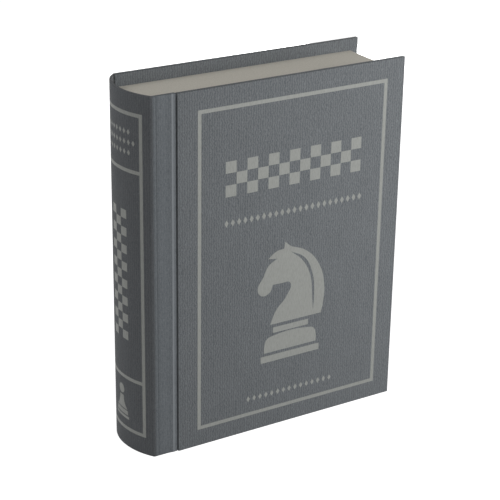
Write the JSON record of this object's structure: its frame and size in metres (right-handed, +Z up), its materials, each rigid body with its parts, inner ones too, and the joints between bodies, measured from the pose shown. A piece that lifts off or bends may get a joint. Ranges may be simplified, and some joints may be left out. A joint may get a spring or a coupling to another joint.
{
  "type": "chess set in a book-shaped case",
  "caption": "Upright cloth-bound book case that opens at a groove beside its curved spine and holds a folding chess board over foam troughs of chessmen.",
  "frame": {"origin": "middle of the footprint of the closed book, on the surface that it stands on", "axes": "+Z up along the spine, +X from the spine to the fore-edge, -Y out of the front cover"},
  "size_m": [0.2126, 0.0616, 0.267],
  "materials": {
    "cover_cloth": "matte",
    "silver_foil": "satin",
    "grey_board": "matte",
    "lining_paper": "matte",
    "page_paper": "matte",
    "divider_board": "matte",
    "rail_wood": "matte",
    "magnet": "satin",
    "steel_plate": "satin",
    "insert_foam": "matte",
    "booklet_paper": "matte",
    "leaf_board": "matte",
    "board_print": "satin",
    "board_backing": "matte",
    "tape_cloth": "matte",
    "foot_felt": "matte",
    "light_wood": "satin",
    "dark_wood": "satin"
  },
  "bodies": {
    "case": {"back_board": "grey_board", "back_cloth": "cover_cloth", "back_lining": "lining_paper", "spine_board": "grey_board", "shoulder_board": "grey_board", "spine_cloth": "cover_cloth", "spine_foil": "silver_foil", "hinge_cloth": "cover_cloth", "tray_floor": "grey_board", "tray_head_wall": "grey_board", "tray_tail_wall": "grey_board", "tray_fore_edge_wall": "grey_board", "tray_hinge_rail": "rail_wood", "tray_paper": "page_paper", "tray_divider": "divider_board", "catch_plates": "steel_plate", "platform_board": "grey_board", "platform_rails": "grey_board", "main_insert": "insert_foam", "side_insert": "insert_foam", "rules_booklet": "booklet_paper", "white_felts": "foot_felt", "black_felts": "foot_felt", "white_king": "light_wood", "white_queen": "light_wood", "white_bishops": "light_wood", "white_knights": "light_wood", "white_rooks": "light_wood", "white_pawns": "light_wood", "black_king": "dark_wood", "black_queen": "dark_wood", "black_bishops": "dark_wood", "black_knights": "dark_wood", "black_rooks": "dark_wood", "black_pawns": "dark_wood"},
    "front_cover": {"front_board": "grey_board", "front_cloth": "cover_cloth", "front_foil": "silver_foil", "front_lining": "lining_paper", "closure_magnets": "magnet"},
    "board_near_half": {"board_near_print": "board_print", "board_near_leaf": "leaf_board", "board_near_backing": "board_backing", "board_tape": "tape_cloth"},
    "board_far_half": {"board_far_print": "board_print", "board_far_leaf": "leaf_board", "board_far_backing": "board_backing"}
  },
  "joints": [
    {"name": "cover_hinge", "type": "hinge", "parent": "case", "child": "front_cover", "pos_m": [-0.0783, -0.03075, 0.1335], "axis": [0, 0, -1], "range_deg": [0, 180], "deforming": ["hinge_cloth"]},
    {"name": "board_lift", "type": "slide", "parent": "case", "child": "board_near_half", "axis": [0, -1, 0], "range_m": [0, 0.013]},
    {"name": "board_fold", "type": "hinge", "parent": "board_near_half", "child": "board_far_half", "pos_m": [-0.0718, -0.02445, 0.1335], "axis": [0, 0, -1], "range_deg": [0, 180], "deforming": ["board_tape"]}
  ],
  "couplings": [
    {"joint": "board_lift", "follows": "cover_hinge", "m_per_rad": 0.004106},
    {"joint": "board_fold", "follows": "cover_hinge", "ratio": 1}
  ]
}
